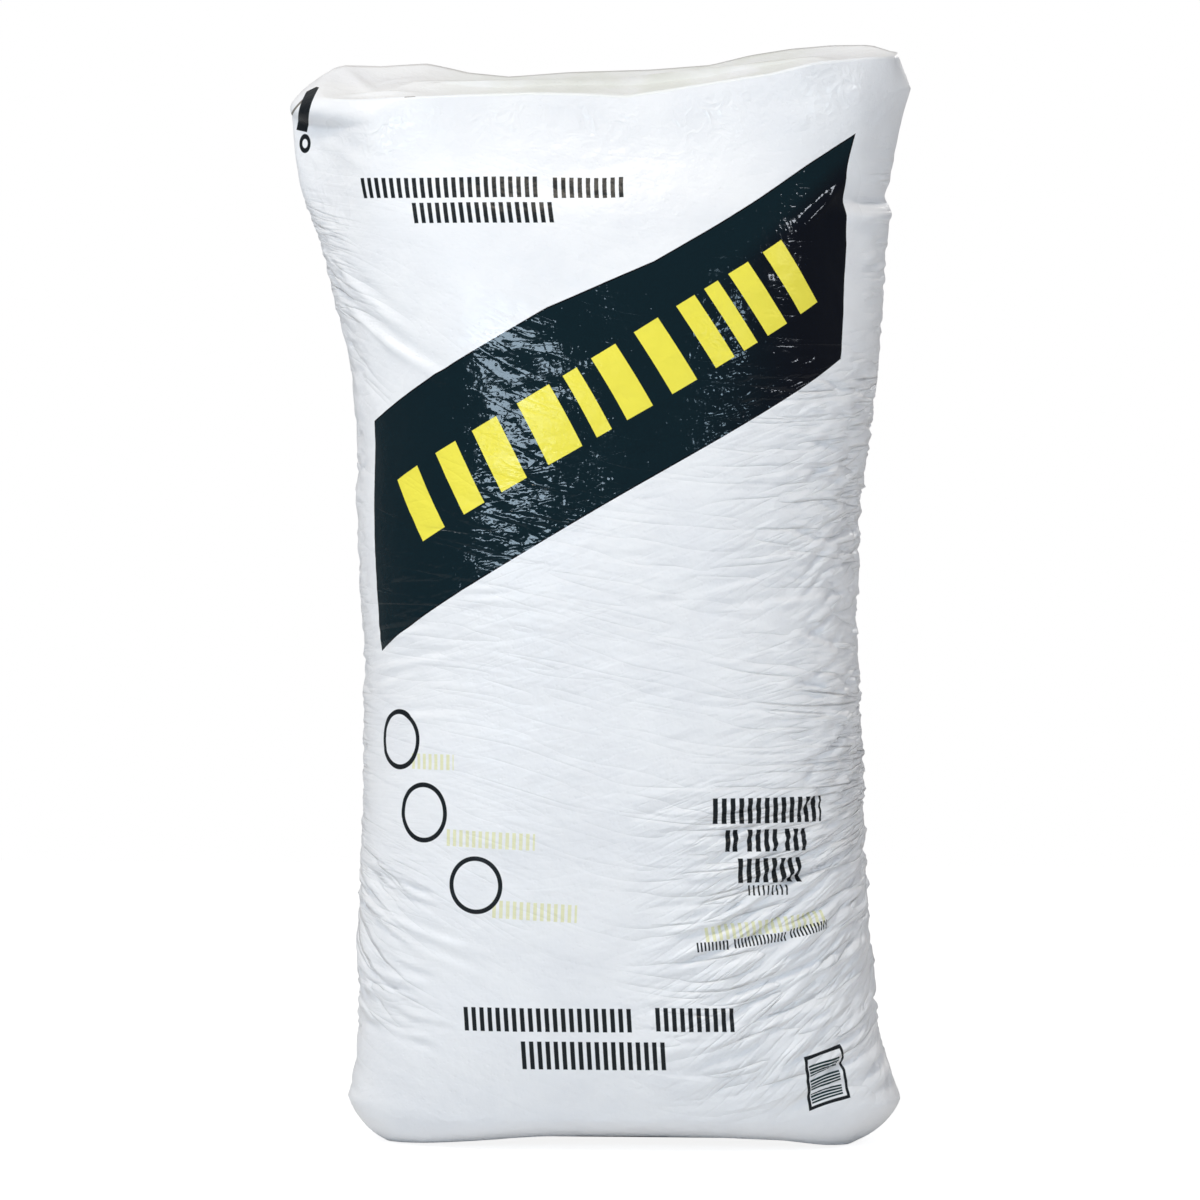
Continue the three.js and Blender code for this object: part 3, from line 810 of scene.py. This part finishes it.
# Relief of the film in metres: small folds along the carried height, thinner ones, crinkles, and
# the dimples of the filling's grains. Round the bag the noise runs on a circle, so it has no seam.
def makeRelief():
    numbers = ("Across", "Carried", "Looseness", "Gloss", "Crinkles")
    inputs = {"Place": "Vector"} | {number: "Float" for number in numbers}
    tree, into, out = newGroup("film_relief", inputs, {"Height": "Float"})
    turn = calc(tree, "MULTIPLY", into["Across"], 2 * math.pi / tube["girth"])
    radius = tube["girth"] / 2 / math.pi

    def folds(along, across, lean, narrow, sharpness, seed):
        x = calc(tree, "MULTIPLY_ADD", calc(tree, "COSINE", turn), radius * along, seed)
        y = calc(tree, "MULTIPLY", calc(tree, "SINE", turn), radius * along)
        z = calc(tree, "MULTIPLY", calc(tree, "MULTIPLY_ADD", y, lean / radius / along, into["Carried"]), across)
        at = addNode(tree, "ShaderNodeCombineXYZ", {0: x, 1: y, 2: z}).outputs[0]
        inputs = {"Vector": at, "Scale": 1.0, "Detail": 1.0, "Roughness": 0.45, "Distortion": 0.35}
        wave = addNode(tree, "ShaderNodeTexNoise", inputs).outputs[0]
        fold = calc(tree, "ABSOLUTE", calc(tree, "MULTIPLY_ADD", wave, narrow, -narrow / 2), clamp=True)
        return calc(tree, "POWER", fold, sharpness)

    def noise(**inputs):
        return addNode(tree, "ShaderNodeTexNoise", {"Vector": into["Place"]} | inputs).outputs[0]

    small = calc(tree, "MULTIPLY", folds(*reliefSizes["smallFolds"]), reliefSizes["small"])
    thin = calc(tree, "MULTIPLY", folds(*reliefSizes["thinFolds"]), reliefSizes["thin"])
    creased = calc(tree, "MULTIPLY", calc(tree, "ADD", small, thin), into["Looseness"])
    grains = noise(Scale=95.0, Detail=2.0, Roughness=0.5)
    cell = addNode(tree, "ShaderNodeTexVoronoi", {"Vector": into["Place"], "Scale": 190.0}).outputs[0]
    pit = calc(tree, "MULTIPLY", ramp(tree, cell, 0.05, 0.32), reliefSizes["pits"])
    crinkle = noise(Scale=48.0, Detail=2.0, Roughness=0.55, Distortion=0.6)
    crinkle = calc(tree, "ABSOLUTE", calc(tree, "MULTIPLY_ADD", crinkle, 4.0, -2.0), clamp=True)
    crinkle = calc(tree, "MULTIPLY", crinkle, calc(tree, "MULTIPLY", into["Crinkles"], reliefSizes["crinkles"]))
    height = calc(tree, "ADD", calc(tree, "ADD", crinkle, pit), creased)
    grainSize = calc(tree, "MULTIPLY_ADD", into["Gloss"], reliefSizes["glossGrains"], reliefSizes["grains"])
    tree.links.new(calc(tree, "MULTIPLY_ADD", grains, grainSize, height), out["Height"])
    return tree


# How rough the film is: on its own, the change where it is glossy, the change where dark ink lies
# on it, and the least
roughness = {"plain": 0.33, "gloss": -0.18, "ink": -0.22, "least": 0.07}
# Painted shade on the top panel, a greyish beige: between these heights over the tube's it starts, its share at the
# ends and what the middle adds, and the places across where the middle fades
panelShade = {
    "from": rowUp * 7, "to": rowUp * 10, "middle": 0.85, "ends": 0.15, "left": (-0.20, -0.08),
    "right": (0.22, 0.12),
}


def newMaterial(name):
    material = bpy.data.materials.new(name)
    material.use_nodes = True
    tree = material.node_tree
    return material, tree, tree.nodes["Principled BSDF"]


# White film: cloudy, with painted shade on the top panel, printed on the front
def makeFilm():
    material, tree, shader = newMaterial("bag_film")
    place = addNode(tree, "ShaderNodeTexCoord").outputs["Object"]
    film = addNode(tree, "ShaderNodeUVMap", uv_map="film").outputs[0]
    soft = addNode(tree, "ShaderNodeTexNoise", {"Vector": place, "Scale": 18.0, "Detail": 3.0}).outputs[0]
    white = mixColour(tree, ramp(tree, soft, 0.3, 0.7), *colours["film"])
    across, up = splitXYZ(tree, film)[:2]
    objectX = splitXYZ(tree, place)[0]
    middle = calc(tree, "MULTIPLY", ramp(tree, objectX, *panelShade["left"]), ramp(tree, objectX, *panelShade["right"]))
    onPanel = ramp(tree, up, tube["height"] + panelShade["from"], tube["height"] + panelShade["to"])
    # painted shade: the top panel's middle turns greyish beige, less so towards its ends
    shadedPanel = calc(tree, "MULTIPLY", onPanel, ramp(tree, soft, 0.15, 0.6))
    shadedPanel = calc(tree, "MULTIPLY", shadedPanel, calc(tree, "MULTIPLY_ADD", middle, panelShade["middle"], panelShade["ends"]))
    white = mixColour(tree, shadedPanel, white, colours["panelShade"])

    def number(name):
        return addNode(tree, "ShaderNodeAttribute", attribute_name=name).outputs["Fac"]

    gloss = number("gloss")
    printed = useGroup(tree, makePrint(), {"Place": film, "Object Place": place, "Film": white}, "Color")
    ink = printed.node.outputs["Ink"]
    relief = useGroup(tree, makeRelief(), {
        "Place": place,
        "Across": across,
        "Carried": number("carried_height"),
        "Looseness": number("looseness"),
        "Gloss": gloss,
        "Crinkles": number("crinkles"),
    })
    bump = addNode(tree, "ShaderNodeBump", {"Height": relief, "Distance": 1.0, "Strength": 1.0})
    tree.links.new(printed, shader.inputs["Base Color"])
    rough = calc(tree, "MULTIPLY_ADD", gloss, roughness["gloss"], roughness["plain"])
    rough = calc(tree, "MAXIMUM", calc(tree, "MULTIPLY_ADD", ink, roughness["ink"], rough), roughness["least"])
    tree.links.new(rough, shader.inputs["Roughness"])
    tree.links.new(bump.outputs[0], shader.inputs["Normal"])
    shader.inputs["Specular IOR Level"].default_value = 0.20
    return material


filledBag.data.materials.append(makeFilm())
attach(filledBag, "root")
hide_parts("filled_bag")
print("film dressed")


# Plain pale floor. The camera sees it near white, with the object's shadow kept.
def makeFloor():
    bpy.ops.mesh.primitive_plane_add(size=6, location=(0, 0, 0))
    floor = bpy.context.object
    floor.name = "floor"
    material, tree, shader = newMaterial("floor_white")
    tree.nodes.remove(shader)
    out = tree.nodes["Material Output"]
    plain = addNode(tree, "ShaderNodeBsdfDiffuse", {"Color": (0.8, 0.8, 0.8, 1)})
    seen = addNode(tree, "ShaderNodeAddShader", {
        0: addNode(tree, "ShaderNodeEmission", {"Color": (1, 1, 1, 1), "Strength": 0.88}).outputs[0],
        1: addNode(tree, "ShaderNodeBsdfDiffuse", {"Color": (0.3, 0.3, 0.3, 1)}).outputs[0],
    })
    isCamera = addNode(tree, "ShaderNodeLightPath").outputs["Is Camera Ray"]
    inputs = {0: isCamera, 1: plain.outputs[0], 2: seen.outputs[0]}
    tree.links.new(addNode(tree, "ShaderNodeMixShader", inputs).outputs[0], out.inputs["Surface"])
    floor.data.materials.append(material)


# White behind the object as the camera sees it; softer light from all round
def makeWorld(ambient):
    world = bpy.data.worlds.new("studio")
    bpy.context.scene.world = world
    world.use_nodes = True
    tree = world.node_tree
    path = addNode(tree, "ShaderNodeLightPath")
    strength = calc(tree, "MULTIPLY_ADD", path.outputs["Is Camera Ray"], 1 - ambient, ambient)
    back = tree.nodes["Background"]
    back.inputs["Color"].default_value = (1, 1, 1, 1)
    tree.links.new(strength, back.inputs["Strength"])


bagMiddle = Vector((0, 0, 0.5))


# Way out from the bag by azimuth to the right of the front and elevation, in degrees
def wayOut(azimuth, elevation):
    a, e = math.radians(azimuth), math.radians(elevation)
    return Vector((math.sin(a) * math.cos(e), -math.cos(a) * math.cos(e), math.sin(e)))


# Lamps round the bag's middle: azimuth, elevation, distance, size, watts, colour
lamps = {
    "key": (-13, 60, 4.4, (0.5, 0.5), 60, (1, 0.90, 0.77)),
    "fill_left": (-60, 48, 4.2, (1.2, 1.2), 48, (0.97, 0.98, 1)),
    "window_left": (-22, 12.5, 4.6, (1.20, 0.46), 47, (0.64, 0.82, 0.98)),
    "window_right": (25, 15, 4.6, (0.3, 0.4), 9, (0.60, 0.82, 1)),
    "window_far": (55, 30, 4.6, (0.6, 0.5), 28, (0.86, 0.91, 1)),
    "back": (160, 25, 4.4, (1.4, 1.4), 20, (1, 0.98, 0.96)),
}


def makeLamp(name, azimuth, elevation, distance, size, watts, colour):
    data = bpy.data.lights.new(name, "AREA")
    data.shape = "RECTANGLE"
    data.size, data.size_y = size
    data.energy, data.color = watts, colour
    lamp = bpy.data.objects.new(name, data)
    lamp.location = wayOut(azimuth, elevation) * distance + bagMiddle
    lamp.rotation_euler = (bagMiddle - lamp.location).to_track_quat("-Z", "Y").to_euler()
    bpy.context.scene.collection.objects.link(lamp)


makeFloor()
makeWorld(ambient=0.32)
for name, lamp in lamps.items():
    makeLamp(name, *lamp)

# Camera: 4 degrees to the right of the front, 2 degrees above level, 5 m away
view = {"azimuth": 4, "elevation": 2, "distance": 5.0, "lens": 163.04, "left": 0.0147, "height": 0.496}
outward, a = wayOut(view["azimuth"], view["elevation"]), math.radians(view["azimuth"])
rightward = Vector((math.cos(a), math.sin(a), 0))
aim = Vector((0, 0, view["height"])) - rightward * view["left"]
cameraData = bpy.data.cameras.new("camera")
cameraData.lens, cameraData.sensor_width = view["lens"], 36
camera = bpy.data.objects.new("camera", cameraData)
camera.location = aim + outward * view["distance"]
camera.rotation_euler = (-outward).to_track_quat("-Z", "Y").to_euler()
bpy.context.scene.collection.objects.link(camera)
bpy.context.scene.camera = camera
bpy.context.scene.view_settings.view_transform = "Standard"
print("studio set")
